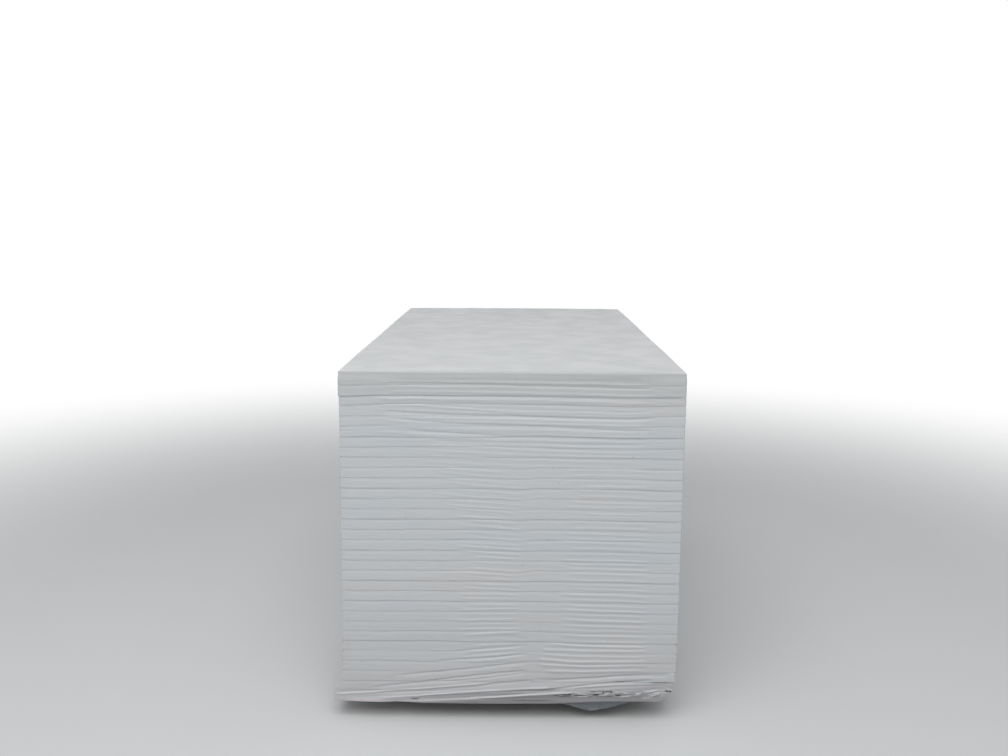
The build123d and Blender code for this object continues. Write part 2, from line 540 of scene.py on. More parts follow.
def makeFilmMaterial():
    material, tree, shader, place = newMaterial("whiteFilm")
    (patchShape, patchScale), (hazeShape, hazeScale) = filmLook["patches"], filmLook["haze"]
    patches = noise(tree, stretchedBy(tree, place, patchShape), patchScale)
    up = node(tree, "SeparateXYZ", {0: place})["Z"]
    low, shadeFrom = stack["bottom"], filmLook["shadeFrom"]
    colour = filmLook["colour"]
    # warm and cool patches, darker towards the foot, painted shade that makes the top greyer and painted
    # shade that makes the rim browner
    for name, value, start, end, atStart, atEnd in (
        ("warm", patches, 0.5, 0.7, 0.0, 0.8),
        ("cool", patches, 0.48, 0.32, 0.0, 0.8),
        ("lowerDarkening", up, low, filmLook["lowerDarkeningTop"], 0.85, 0.0),
        ("shade", up, shadeFrom, shadeFrom + 0.1, 0.0, 1.0),
        ("rim", up, low - 6 * mm, low + 9 * mm, 0.8, 0.0),
    ):
        colour = mixed(tree, ranged(tree, value, start, end, atStart, atEnd), colour, filmLook[name])
    # painted shade, with some dirt, where the film turns under, painted shade a little darker in the joints
    # and painted shade almost black in the tears
    for name in ("soiled", "joint", "torn"):
        share = node(tree, "Attribute", {}, attribute_name=name)["Fac"]
        colour = mixed(tree, share, colour, filmLook[name])
    # a few specks of dirt, strewn and in their places on the photographed end
    shape, scale = filmLook["strewn"]
    cells = node(tree, "TexVoronoi", {"Vector": stretchedBy(tree, place, shape), "Scale": scale})
    dot = ranged(tree, cells["Distance"], 0.035, 0.075, 1.0, 0.0)
    chosen = node(tree, "SeparateColor", {0: cells["Color"]})[0]
    rare = ranged(tree, chosen, 0.9, 0.93, 0.0, 0.45)
    colour = mixed(tree, calculated(tree, "MULTIPLY", dot, rare), colour, filmLook["speck"])
    for across, height, radius in filmLook["specks"]:
        spot = (stack["slide"] / 2 + across * mm, -halfLength, stack["bottom"] + height * mm)
        away = node(tree, "VectorMath", {0: place, 1: spot}, operation="DISTANCE")["Value"]
        share = ranged(tree, away, 0.3 * radius * mm, radius * mm, 0.5, 0.0)
        colour = mixed(tree, share, colour, filmLook["speck"])
    haze = noise(tree, stretchedBy(tree, place, hazeShape), hazeScale, 3.0)
    crinkle = noise(tree, stretchedBy(tree, place, filmLook["crinkles"]), 1.0, 3.0, 0.55)
    normal = bumped(tree, crinkle, *filmLook["crinkle"])
    normal = bumped(tree, noise(tree, place, filmLook["grains"], 1.0), *filmLook["grain"], Normal=normal)
    finished(tree, shader, colour, ranged(tree, haze, 0.3, 0.7, *filmLook["roughness"]), normal)
    return material


filmMaterial = makeFilmMaterial()
print("film material made")


# the photographed end
front = {
    # wrinkles: from and to across in metres from the middle of the upper stack, from and to as board
    # numbers, ridges a board, how unevenly they are spaced, whether they all end at the right, how far
    # they bend upwards; then slopes at the bottom and the top in degrees up to the right and their
    # spread, share of the length, heights and widths in millimetres, metres to fade out
    "wrinkles": [
        # long ridges under the top edge
        (-0.475, 0.512, 30, 32, 2, 0.12, False, 0.0,
         (-0.7, -0.4), 0.1, (0.95, 1.0), (0.7, 1.4), (3.0, 4.2), (0.015, 0.05)),
        (-0.475, 0.512, 26, 30, 2, 0.16, False, 0.02,
         (-1.0, -0.8), 0.12, (0.92, 1.0), (0.7, 1.35), (3.0, 4.2), (0.015, 0.06)),
        # ridges falling to the right over the upper third, steeper at their left end
        (-0.42, 0.512, 23, 26, 2, 0.2, False, 0.036,
         (-2.0, -1.5), 0.25, (0.75, 1.0), (0.6, 1.3), (3.2, 4.6), (0.06, 0.18)),
        (-0.3, 0.11, 18, 23, 2, 0.2, False, 0.0,
         (-5.0, -4.0), 0.4, (0.65, 0.95), (0.7, 1.25), (2.8, 4.2), (0.05, 0.12)),
        (0.18, 0.512, 18, 23, 2, 0.22, True, 0.0,
         (0.4, -0.6), 0.3, (0.75, 1.0), (0.6, 1.4), (2.6, 3.6), (0.03, 0.07)),
        # short ridges left of the middle and right of it
        (-0.2, 0.055, 11, 18, 2, 0.22, True, 0.0,
         (-3.4, -5.2), 0.5, (0.75, 1.0), (0.8, 1.7), (2.6, 3.8), (0.03, 0.07)),
        (0.17, 0.512, 11, 18, 2, 0.24, True, 0.0,
         (-0.8, 0.2), 0.25, (0.85, 1.0), (0.8, 1.7), (2.5, 3.5), (0.02, 0.05)),
        (-0.2, 0.055, 7, 11, 2, 0.14, True, 0.0,
         (2.0, -0.6), 0.3, (0.85, 1.0), (1.1, 1.85), (2.6, 3.6), (0.02, 0.06)),
        (0.16, 0.512, 6, 11, 2, 0.12, True, 0.0,
         (-0.6, -1.6), 0.15, (0.9, 1.0), (0.9, 2.3), (2.7, 3.6), (0.02, 0.05)),
        (-0.22, 0.06, 4, 7, 2, 0.2, True, 0.0,
         (5.0, 3.0), 0.3, (0.8, 1.0), (1.8, 2.8), (2.9, 4.0), (0.03, 0.1)),
        (0.1, 0.512, 3, 6, 2, 0.14, True, 0.0,
         (1.0, -0.3), 0.2, (0.92, 1.0), (1.6, 3.4), (2.7, 3.6), (0.02, 0.05)),
        # low ridges along the foot
        (-0.6, 0.2, 0.1, 0.95, 3.6, 0.32, False, 0.0,
         (0.8, 2.4), 0.3, (0.6, 0.9), (0.8, 1.7), (2.0, 3.0), (0.06, 0.16)),
    ],
    # folds: points across and up, height, width, fade at the left and the right end, in millimetres
    "folds": [
        # grooves that fan out from the lower left corner
        ([(-210, 228), (66, 247)], -2.0, 2.6, 60, 20),
        ([(-250, 191), (-96, 205), (66, 219)], -2.4, 2.6, 80, 20),
        ([(-300, 153), (-222, 161), (17, 180), (70, 185)], -2.8, 2.8, 90, 20),
        ([(-440, 97), (-265, 115), (-138, 129), (18, 148), (72, 154)], -3.6, 3.0, 120, 22),
        ([(-500, 50), (-406, 62), (-332, 72), (-259, 82), (-185, 93), (18, 118), (70, 122)], -5.0, 3.2, 110,
          24),
        ([(-300, 72), (-138, 84), (18, 106), (66, 112)], -2.8, 2.4, 90, 22),
        ([(-470, 26), (-333, 36), (-259, 42), (-177, 53), (-92, 61), (0, 75), (37, 80), (100, 83)], -6.0, 3.0,
          100, 40),
        ([(-625, 27), (-585, 29), (-499, 35), (-420, 42)], -4.5, 2.4, 14, 60),
        # crests below them, lit along their upper side
        ([(-625, 17), (-585, 19), (-488, 27), (-407, 35), (-340, 45)], 2.6, 2.3, 14, 80),
        ([(-600, -3), (-481, 4), (-407, 7), (-333, 14), (-259, 19), (-148, 30), (-37, 41), (50, 50),
          (120, 54), (175, 55)], 3.4, 2.4, 50, 40),
        ([(-290, -3), (-203, 1), (-111, 7.5), (0, 17), (111, 25), (219, 33), (290, 39)], 4.4, 2.2, 60, 70),
        ([(-400, 40), (-333, 46), (-259, 52), (-185, 58), (-111, 66), (-20, 75)], 2.6, 3.0, 90, 90),
        # grooves that run up to the right side
        ([(92, 86), (183, 88), (260, 92), (330, 98.5), (400, 105), (470, 108.5), (600, 110)], -7.2, 2.9, 50,
          30),
        ([(70, 36), (151, 45), (235, 57), (341, 73), (425, 80.5), (545, 89)], -6.6, 2.5, 70, 50),
        ([(240, 50), (330, 55.5), (406, 61), (480, 65.5), (517, 68), (553, 70.5), (600, 73)], -5.8, 2.3, 60,
          14),
        ([(290, 38), (331, 39.5), (405, 41.5), (442, 47), (478, 50), (565, 51.5)], -3.8, 2.0, 40, 26),
        # long lines under the top edge, where the film sags between two boards
        ([(-456, 1195), (-299, 1194), (-178, 1192), (11, 1184), (506, 1180)], -1.5, 3.2, 30, 40),
        ([(-480, 1138), (-299, 1134), (-138, 1132), (11, 1131), (506, 1126)], 1.6, 2.6, 22, 40),
        ([(-466, 1107), (-300, 1104), (-138, 1093), (11, 1089), (506, 1086)], 1.35, 2.8, 24, 40),
        ([(-458, 1090), (-320, 1081), (-178, 1076), (11, 1074), (506, 1068)], -1.9, 3.8, 28, 40),
        ([(-410, 1065), (-219, 1047), (-57, 1040), (12, 1038), (506, 1020)], -2.0, 4.0, 60, 40),
        ([(-400, 1027), (-260, 1016), (-138, 1008), (12, 1000), (490, 990)], -2.0, 4.0, 70, 50),
        ([(-310, 985), (-100, 977), (130, 972), (500, 974)], -1.4, 3.6, 60, 50),
    ],
    # where the film stands off the boards: from, to, low, high in metres, millimetres off
    "slack": [
        (-0.70, 0.12, 0.00, 0.21, 3.6),
        (0.08, 0.57, 0.00, 0.24, 4.3),
        (-0.49, 0.53, 0.92, 1.20, 1.6),
    ],
    # how far the wrinkles and joints are drawn down, in millimetres: places across, and for each
    # height above the lowest board one value at each place
    "across": [-600, -477, -330, -183, -35, 112, 259, 407, 554],
    "down": [
        (25, [0, 0, 0, 0, 0, 0, 0, 0, 0]),
        (45, [6.5, 4.8, 4.8, 3, 2.2, 4.4, 0, 0, 1.8]),
        (95, [6, 4.8, 5.2, 3.7, 4.4, 3.7, 4, 2.6, 3]),
        (130, [3.5, 2.2, 5.2, 4.4, 3.7, 5, 7.4, 4.6, 3.2]),
        (160, [3, 1.5, 3.3, 5.2, 4, 0, 8, 7.4, 5]),
        (200, [4, 2.6, 1, 5.2, 4.8, 0, 6.6, 7, 6]),
        (260, [5, 4.4, 1.8, 1.8, 1.8, 1.8, 5.5, 5.5, 5.5]),
        (330, [5, 4.8, 1.8, 1.8, 1.8, 1, 4.6, 4.6, 5.5]),
        (400, [2.8, 2.8, 1, 2.2, 1, 1, 2.6, 2.8, 5.5]),
        (480, [1.8, 1.8, 0.8, 2.2, 0, -0.8, 1, 1.8, 4.8]),
        (560, [2.8, 2.8, 1, 2.6, -1, -1.5, 0.8, 1.5, 5.2]),
        (635, [1.8, 1.8, -1.5, 0.8, -3, -2.8, -1, 1, 2.8]),
        (710, [1, 1, -1.8, -1, -3.7, -4, -1.8, 1, 1.8]),
        (785, [1.8, 1.8, -1, 1, -1, -3, -1.8, 0, 2.8]),
        (857, [1.8, 1.8, -1, 0.8, 0, -2.8, -1.8, -1.8, 2.8]),
        (925, [3, 2.6, 0, 0, 0, -1.5, 0, 0, 2.8]),
        (957, [6, 3.5, 0.5, -1, -1, 0.7, 4, 4, 2.8]),
        (998, [6.5, 3.5, 5, 5, 3, -0.6, 0.6, 2.7, 2.4]),
        (1038, [6.9, 1.3, 6, 2.5, 0.3, -0.1, 1.5, 4, -2.5]),
        (1072, [7.5, 4.5, 5.5, 4.4, 2.5, 4.4, 6.7, 8, -0.6]),
        (1113, [8, 0.7, -6, -4.7, -3.3, -2.9, -1, 3.1, 1.4]),
        (1145, [14, 7.6, 6.3, 7.6, 6.1, 6.7, 8.6, 11, 10.3]),
        (1188, [13, 8.1, 6.5, 5.8, 3.2, 3.9, 5.7, 7, 4.6]),
        (1226, [8, 5, 4, 4, 3, 3, 4, 4, 3]),
    ],
    "cuts": (10, 20),  # joints at which it is cut into panels
}


def addSlack(field, s, z, places):
    for start, end, low, high, off in places:
        up = faded(z, low + stack["bottom"], high + stack["bottom"], 0.45 * (high - low))
        field += off * mm * up[:, None] * faded(s, start, end, 0.14)[None, :]


def frontBridged(s, joint):
    # 1 where ridges carry the film over the joints
    h = joint - stack["bottom"]
    upper = smooth((h - 0.66) / 0.1) * faded(s, -0.5, 0.5, 0.1, 0.05)
    middle = faded(s, -0.2, 0.07, 0.06, 0.05) + faded(s, 0.15, 0.5, 0.06, 0.04)
    return np.clip(upper + smooth((0.7 - h) / 0.08) * middle, 0, 1)


def drawnDown(s, z):
    # how far down the film is drawn at every column, where its height is z
    heights = [height for height, values in front["down"]]
    across = np.array(front["across"]) * mm
    table = np.array([np.interp(s, across, values) for height, values in front["down"]])
    level = np.interp((z - stack["bottom"]) / mm + np.zeros_like(s), heights, np.arange(len(heights)))
    first = np.minimum(level.astype(int), len(heights) - 2)
    share, column = level - first, np.arange(len(s))
    return mm * ((1 - share) * table[first, column] + share * table[first + 1, column])


def frontDrift(s, joint):
    # how far the line of a joint is drawn up or down: askew left of the middle
    askew = faded(joint - stack["bottom"], 0.40, 0.96, 0.12) * faded(s, -0.26, 0.11, 0.12, 0.09)
    return -(s + 0.08) * 0.035 * askew - drawnDown(s, joint)


# patches of wrinkles over the hidden sides, like those of the photographed end, each value between
# two limits: metres along the side, degrees, millimetres
hidden = {
    "bands": 5,
    "margins": (0.02, 0.01),  # metres left free at the foot and at the top of a band
    "uneven": 0.32,  # how unevenly the ridges are spaced, and the spread of their slopes
    "spread": 0.35,
    "fromCorner": (0.08, 0.2),
    "toCorner": (0.06, 0.12),
    "length": (0.35, 0.95),
    "shortest": 0.3,
    "overlap": 0.05,
    "gap": (0.0, 0.22),
    "ridgesPerBoard": (1.5, 2.4),
    "lean": (-1.6, 1.6),
    "turn": (-0.8, 0.8),
    "share": (0.6, 1.0),
    "height": (0.9, 2.3),
    "width": (3.2, 5.4),
    "fade": (0.05, 0.16),
}


def hiddenWrinkles(half, rng):
    zones = []
    height = (stack["top"] - stack["bottom"]) / hidden["bands"]
    below, above = hidden["margins"]
    for band in range(hidden["bands"]):
        low, high = (height * band + below) / stack["pitch"], (height * (band + 1) - above) / stack["pitch"]
        start = -half + rng.uniform(*hidden["fromCorner"])
        while start < half - hidden["shortest"]:
            length = rng.uniform(*hidden["length"])
            end = min(start + length, half - rng.uniform(*hidden["toCorner"]))
            lean, count = rng.uniform(*hidden["lean"]), rng.uniform(*hidden["ridgesPerBoard"])
            slopes = (lean, lean + rng.uniform(*hidden["turn"]))
            sizes = (hidden[key] for key in ("spread", "share", "height", "width", "fade"))
            zones.append((start, end, low, high, count, hidden["uneven"], False, 0.0, slopes, *sizes))
            start = end - hidden["overlap"] + rng.uniform(*hidden["gap"])
    return zones


def nothing(s, z):
    # what the other sides have in place of the front's bridges and drift
    return 0 * s


# where the top edge of each side is lifted off the boards: metres along the side, millimetres of height
edges = {
    "corner": 0.4 * mm,  # height at the corners of the bag
    "endBlend": 0.09,  # metres beside a corner over which the lift fades in
    "seed": 40,
    "wander": (0.7 * mm, 0.5, 0.06),
    "front": [(-0.62, 0.3), (-0.47, 0.8), (-0.36, 4.0), (-0.1, 3.4), (0.1, 4.6), (0.42, 6.2), (0.5, 3.0),
              (0.56, 0.4), (0.63, 0.3)],
    "right": [(-1.22, 0.4), (-0.7, 2.4), (-0.1, 1.2), (0.5, 3.0), (1.22, 0.4)],
    "back": [(-0.62, 0.4), (-0.2, 2.6), (0.25, 1.6), (0.62, 0.4)],
    "left": [(-1.22, 0.4), (-0.5, 2.8), (0.2, 1.2), (0.8, 2.2), (1.22, 0.4)],
}


def rawLift(name, s):
    places, lifts = np.array(edges[name]).T
    rng = np.random.default_rng(sideNames.index(name) + edges["seed"])
    return np.interp(s, places, lifts * mm) + np.abs(wander(s, rng, *edges["wander"]))


def endWeight(s, half):
    return smooth(1 - (half - s) / edges["endBlend"])


def edgeLift(name, s):
    half = sides[name]["half"]
    free = (1 - endWeight(s, half)) * (1 - endWeight(-s, half))
    return edges["corner"] + (rawLift(name, s) - edges["corner"]) * free


# how deep the joints are and how far the film stands out over single boards, in millimetres; boards
# and joints are counted upwards from 0
uneven = {
    "seed": 11,
    "jointDepth": (0.7, 1.25),
    "frontJointDepth": (0.75, 1.1),
    # the bold line under the two uppermost boards, and others that are bolder or fainter
    "frontJoints": {29: 1.7, 5: 1.35, 9: 1.35, 20: 1.2, 24: 1.2, 25: 1.2, 4: 0.6, 7: 0.6},
    "board": 1.3,
    "frontUppermost": 2.2,
    "corner": 1.2,
    "leftCornerShare": 0.4,
    "leftCornerUppermost": 2.6,  # the two uppermost boards stand out at the front left corner
    "rightCornerLean": (-0.4, 1.2),
    "rightCornerFoot": 3.0,
}
rng = np.random.default_rng(uneven["seed"])
jointDepths = {name: rng.uniform(*uneven["jointDepth"], stack["boards"] - 1) for name in sideNames}
jointDepths["front"] = rng.uniform(*uneven["frontJointDepth"], stack["boards"] - 1)
for number, depth in uneven["frontJoints"].items():
    jointDepths["front"][number] = depth
standing = {name: rng.uniform(0, uneven["board"], stack["boards"]) * mm for name in sideNames}
standing["front"][-2:] += uneven["frontUppermost"] * mm
cornerStanding = [rng.uniform(0, uneven["corner"], stack["boards"]) * mm for name in sideNames]
cornerStanding[0] *= uneven["leftCornerShare"]
cornerStanding[0][-2:] += uneven["leftCornerUppermost"] * mm
cornerStanding[1] += np.linspace(*uneven["rightCornerLean"], stack["boards"]) * mm
cornerStanding[1][1:3] += uneven["rightCornerFoot"] * mm


def cornersOf(name, s):
    # the two corners of a side and how far every column is from them
    number, half = sideNames.index(name), sides[name]["half"]
    return (number, s + half), ((number + 1) % 4, half - s)


def cornerField(number, z):
    # the two corners of the photographed end follow its joints
    if number < 2:
        z = z + drawnDown(np.full_like(z, (-halfWidth, halfWidth)[number]), z)
    groove = np.zeros_like(z)
    for joint in joints:
        groove = np.maximum(groove, np.exp(-(((z - joint) / bag["grooveAbove"]) ** 2)))
    return perBoard(cornerStanding[number], z) - bag["cornerDip"] * groove


def sideField(name, s, z, zones, rng):
    bridged, drift, drawn = nothing, nothing, nothing
    if name == "front":
        bridged, drift, drawn = frontBridged, frontDrift, drawnDown
    field = perBoard(standing[name], z[:, None] + np.array([drawn(s, height) for height in z]))
    slack = wander(s, rng, *bag["slackWander"])[None, :] * np.sin(z * 9 + 1)[:, None]
    field += np.abs(slack)
    addRidges(field, s, z, zones, drawn, rng)
    if name == "front":
        addSlack(field, s, z, front["slack"])
        addFolds(field, s, z, front["folds"], drawn, rng)
    inside = addGrooves(field, s, z, jointDepths[name], bridged, drift, rng)
    field = keptOff(field, z)
    for corner, distance in cornersOf(name, s):
        weight = smooth(1 - distance / bag["cornerBlend"])[None, :]
        field = field * (1 - weight) + cornerField(corner, z)[:, None] * weight
    depth, fade = bag["topBlend"]
    lifted = smooth((z - (bagTop - depth)) / fade)[:, None]
    return field * (1 - lifted) + edgeLift(name, s)[None, :] * lifted, inside


def toWorld(side, s, out, z):
    x = side["along"][0] * s + side["out"][0] * out
    y = side["along"][1] * s + side["out"][1] * out
    x = x + slideShift(x, np.clip(z, stack["bottom"] + mm, stack["top"] - mm))
    return np.stack([x, y, z + np.zeros_like(x)], axis=-1)


def rounded(a, b, flatA, flatB, level, field):
    # a sheet at a level, bent round where its points lie beyond the flat part, and moved out by field
    r = bag["rounding"]
    da, db = a - flatA, b - flatB
    out = (r + field) / np.sqrt(da ** 2 + db ** 2 + r ** 2)
    return flatA + da * out, flatB + db * out, level - r + r * out


def sidePoints(name, s, z, field):
    side, r = sides[name], bag["rounding"]
    across, up = s[None, :], z[:, None]
    flatS, flatZ = np.clip(across, r - side["half"], side["half"] - r), np.minimum(up, bagTop - r)
    across, up, out = rounded(across, up, flatS, flatZ, side["depth"], field)
    return toWorld(side, across, out, up)


def backPoints(name, s, z):
    # inner side of the film, straight between the corners and drawn into the joints
    side, even = sides[name], np.zeros((len(z), len(s)))
    groove = np.zeros_like(z)
    for joint in joints:
        groove = np.maximum(groove, 1 - np.abs(z - joint) / bag["backGrooveHalf"])
    out = side["depth"] - closer - bag["backGroove"] * groove[:, None] + even
    across = np.clip(s, closer - side["half"], side["half"] - closer)[None, :] + even
    return toWorld(side, across, out, np.minimum(z, bagTop - closer)[:, None] + even)


def keptColumns(s):
    # the columns of the outer side that the inner side keeps
    wanted = np.linspace(s[0], s[-1], int(round((s[-1] - s[0]) / bag["backStep"])) + 1)
    return sorted({int(np.abs(s - place).argmin()) for place in wanted})


columnsOf = {name: stretched(sides[name]["half"], bag["columnStep"][name]) for name in sideNames}


def wallRows(first, rowCount):
    # rows from a joint to the rounded top edge
    last = joints[-1] + bag["endRows"]
    edge = bagTop - bag["topRows"]
    middle = np.linspace(last[-1], edge[0], 10)[1:-1]
    return np.concatenate([boardRows(first, stack["boards"] - 1, rowCount), last, middle, edge])


# the hem: the film goes on below the lowest board, round its edge and back under it
hem = {
    "under": 60.0,  # millimetres turned under, as in the following values
    "faceEnd": 8.0,  # height at which the face ends and the turn begins
    "rows": 14,
    "frontRows": 22,
    "skirt": 0.8,  # how far the turn stands out
    "mitre": 0.16,  # metres over which the ends are drawn in to the mitre
    "cornerSag": (9.5, 0.4, 1.0, 1.6),  # front left, front right, back right, back left
    "cornerBlend": 0.12,  # metres over which the sag changes to that of the corner
    "sideSag": 2.2,  # sag of the other sides, and its waviness: height, longest and shortest wave
    "sagWander": (1.6, 1.1, 0.25),
    "underUneven": 0.12,  # share by which the width turned under varies
    "underWander": (1.0, 0.3, 0.02),
    "ripple": (1.6, 0.07, 0.016),
    "thickness": 0.4,
    # how far the front edge hangs below the board, from the upper stack's middle (m, mm)
    "frontSag": [(-0.61, 9.5), (-0.54, 10.8), (-0.43, 11.6), (-0.385, 8.4), (-0.33, 10.1), (-0.30, 13.0),
                 (-0.27, 14.0), (-0.12, 15.8), (0.0, 15.4), (0.1, 13.4), (0.2, 12.4), (0.27, 8.0),
                 (0.33, 4.5), (0.44, 0.6), (0.54, 0.4), (0.61, 0.4)],
    # how far that edge is rolled outwards (m, mm)
    "frontLip": [(-0.60, 0.0), (-0.56, 3.0), (-0.52, 4.5), (-0.34, 4.5), (-0.22, 2.5), (-0.12, 0.0)],
}


def faceRows(high, step):
    # rows from the hem up to a joint
    low = stack["bottom"] + hem["faceEnd"] * mm
    near = bag["endRows"][::-1]
    count = int(round((high - near[0] - low) / step)) + 1
    return np.concatenate([np.linspace(low, high - near[0], count)[:-1], high - near])


# the lower front right corner of the lowest board is crushed, and the film with it
crush = {"across": 24.0 * mm, "back": 45.0 * mm, "up": 20.0 * mm, "softness": 2.5 * mm}


def crushed(points):
    # moves what lies outside the crushed plane back to it
    corner = np.array((stack["boardWidth"] / 2 + boardX(0), -stack["length"] / 2, stack["bottom"]))
    slopes = np.array([-1 / crush["across"], 1 / crush["back"], 1 / crush["up"]])
    steepness = np.linalg.norm(slopes)
    beyond = (1 - (points - corner) @ slopes) / steepness - bag["standOff"]
    soft = crush["softness"]
    push = np.where(beyond > soft, beyond, (beyond + soft) ** 2 / (4 * soft))
    push = np.where(beyond < -soft, 0.0, push)
    return points + push[..., None] * slopes / steepness


def spline(controls, count):
    # rows along a cubic B-spline that starts and ends on its first and last control points
    controls = np.array([controls[0]] * 2 + controls + [controls[-1]] * 2)
    spans = len(controls) - 3
    rows = []
    for t in np.linspace(0, spans, count):
        first = min(int(t), spans - 1)
        u = t - first
        basis = ((1 - u) ** 3, 3 * u ** 3 - 6 * u ** 2 + 4, -3 * u ** 3 + 3 * u ** 2 + 3 * u + 1, u ** 3)
        rows.append(sum(share * controls[first + k] for k, share in enumerate(basis)) / 6)
    return np.array(rows)


def sagOf(name, s, rng):
    if name == "front":
        sag = np.interp(s, *zip(*hem["frontSag"]))
    else:
        sag = hem["sideSag"] + wander(s, rng, *hem["sagWander"])
    for corner, distance in cornersOf(name, s):
        weight = smooth(1 - distance / hem["cornerBlend"])
        sag = sag * (1 - weight) + hem["cornerSag"][corner] * weight
    return np.maximum(sag, 0.4)


def hemPoints(name, s, edgeRow, edgeField, rows, rng):
    # edgeRow holds the points at the lower end of the face, edgeField how far they are moved outwards
    half = sides[name]["half"]
    ends = smooth(1 - (half - np.abs(s)) / hem["mitre"])
    sag = sagOf(name, s, rng)
    skirt = hem["skirt"] * (1 - ends) + 0.25 * sag * (1 - ends)
    under = -hem["under"] * (1 + hem["underUneven"] * wander(s, rng, *hem["underWander"]) * (1 - ends))
    flat = np.ones_like(s)
    edge = (edgeField + bag["standOff"]) / mm
    lip = np.interp(s, *zip(*hem["frontLip"])) if name == "front" else 0 * s
    # control points of the turn: from the face round the edge and back under the board
    outs = [edge, edge + 0.3 * skirt, 1.2 + skirt + 0.3 * lip, 0.7 * skirt - 0.3 + lip, -9.0 * flat,
            -27.0 * flat, under]
    heights = [hem["faceEnd"] * flat, 3.2 * flat, -0.5 * sag, -1.1 * sag - 0.6, -0.8 * sag - 0.9,
               -1.6 * flat, -1.0 * flat]
    out = spline(outs, rows)[1:]
    height = spline(heights, rows)[1:]
    inward = np.clip(-out / hem["under"], 0, 1)
    ripple = wander(s, rng, *hem["ripple"]) * (1 - ends)
    height = height - np.abs(ripple)[None, :] * smooth(inward * 2.2)
    shift = (out - edge[None, :]) * mm
    along = np.array([*sides[name]["along"], 0])
    outward = np.array([*sides[name]["out"], 0])
    drawn = (np.sign(s) * ends)[None, :] * shift
    points = edgeRow[None, :, :] + shift[..., None] * outward + drawn[..., None] * along
    points[..., 2] += (height - hem["faceEnd"]) * mm
    return points[::-1]  # from the free edge up to the face


# the scuffed foot of the photographed end
frontFoot = {
    "boards": 2,  # boards that it covers
    "columnStep": 3.4 * mm,
    "rowStep": 1.15 * mm,
    # places across from the middle of the upper stack, heights from its foot, in millimetres:
    # the lowest crest, below which the film turns back, and how far it stands out there
    "crest": [(-593, -10), (-407, -8.5), (-315, -4.5), (-259, -1.5), (-203, 2), (-111, 8.6), (0, 18.6),
              (111, 26), (219, 33.5), (290, 38), (375, 40), (480, 48), (560, 46)],
    "crestOut": 4.5,
    # the line up to which painted shade, with some dirt, makes the film above the crest a little darker
    "band": [(-611, -1), (-481, 7), (-407, 10), (-333, 16), (-259, 22), (-148, 32), (-37, 42), (7, 46),
             (111, 49), (221, 51), (420, 60), (600, 76)],
    # share of the painted shade, with some dirt, below the crest and above it
    "deep": [(-520, 0), (-400, 0.8), (-260, 1), (150, 1), (230, 0.95), (470, 0.9), (590, 0.5)],
    "light": [(-490, 0), (-430, 0.4), (-259, 0.62), (-60, 0.7), (20, 0.95), (150, 0.95), (190, 0.48),
              (420, 0.48), (520, 0.62), (600, 0.35)],
    # tears and scuffs: across and up in metres, then half length, depth and half height in millimetres
    "tears": [
        (0.208, 0.0259, 16, 4.5, 2.4),
        (0.172, 0.0259, 14, 3.4, 1.5),
        (0.197, 0.0179, 18, 3.0, 1.2),
        (0.260, 0.0242, 22, 2.4, 1.0),
        (0.307, 0.0389, 7, 3.6, 1.9),
        (0.322, 0.0402, 25, 1.4, 1.0),
        (0.360, 0.0396, 17, 4.8, 1.8),
        (0.316, 0.0264, 11, 4.4, 3.0),
        (0.363, 0.0203, 12, 2.4, 1.0),
        (0.397, 0.0262, 8, 4.0, 2.8),
        (0.517, 0.0394, 7, 2.6, 1.3),
        (0.585, 0.0412, 13, 4.6, 2.8),
        (0.560, 0.0750, 38, 2.0, 1.7),
        (-0.160, 0.0118, 12, 1.5, 0.8),
        (-0.351, 0.0050, 15, 3.0, 2.0),
        (0.078, 0.0016, 78, 2.4, 1.7),
    ],
    # crumpled film round them: start, end, ridge height and width in millimetres
    "crumples": [
        ((0.227, 0.0505), (0.229, 0.0111), 6.5, 2.0),
        ((0.133, 0.0309), (0.221, 0.0399), 3.0, 2.2),
        ((0.236, 0.0322), (0.295, 0.0273), 3.0, 1.9),
        ((0.236, 0.0172), (0.302, 0.0211), 2.6, 2.0),
        ((0.326, 0.0175), (0.341, 0.0350), 5.0, 2.4),
        ((0.334, 0.0239), (0.365, 0.0321), 5.4, 3.2),
        ((0.357, 0.0352), (0.380, 0.0283), 4.0, 2.0),
        ((0.380, 0.0370), (0.386, 0.0166), 5.2, 2.2),
        ((0.395, 0.0175), (0.455, 0.0253), 4.2, 2.0),
        ((0.409, 0.0366), (0.442, 0.0307), 3.2, 1.9),
        ((0.453, 0.0229), (0.488, 0.0391), 5.6, 2.2),
        ((0.458, 0.0379), (0.483, 0.0217), 3.8, 1.8),
        ((0.486, 0.0390), (0.524, 0.0430), 4.4, 2.0),
        ((0.499, 0.0187), (0.565, 0.0396), 5.8, 2.4),
        ((0.504, 0.0345), (0.531, 0.0207), 4.0, 1.9),
        ((0.534, 0.0404), (0.560, 0.0218), 4.2, 2.0),
        ((0.479, 0.0138), (0.538, 0.0168), 2.6, 2.2),
        ((0.506, 0.0400), (0.548, 0.0480), 3.6, 1.8),
        ((0.508, 0.0280), (0.552, 0.0400), 3.8, 1.6),
        ((0.544, 0.0153), (0.569, 0.0322), 4.6, 2.2),
    ],
    # small tears strewn between the others, in metres and then millimetres: how many, across, lowest
    # above the foot and highest below the crest, half length, depth and half height
    "smallTears": 18,
    "smallTearSeed": 23,
    "smallTearAcross": (0.165, 0.41),
    "smallTearUp": (0.018, 0.004),
    "smallTearSizes": ((3, 8), (1.5, 3.5), (0.7, 1.5)),
}


def curlLine(name, across):
    return np.interp(across / mm, *np.array(frontFoot[name]).T)


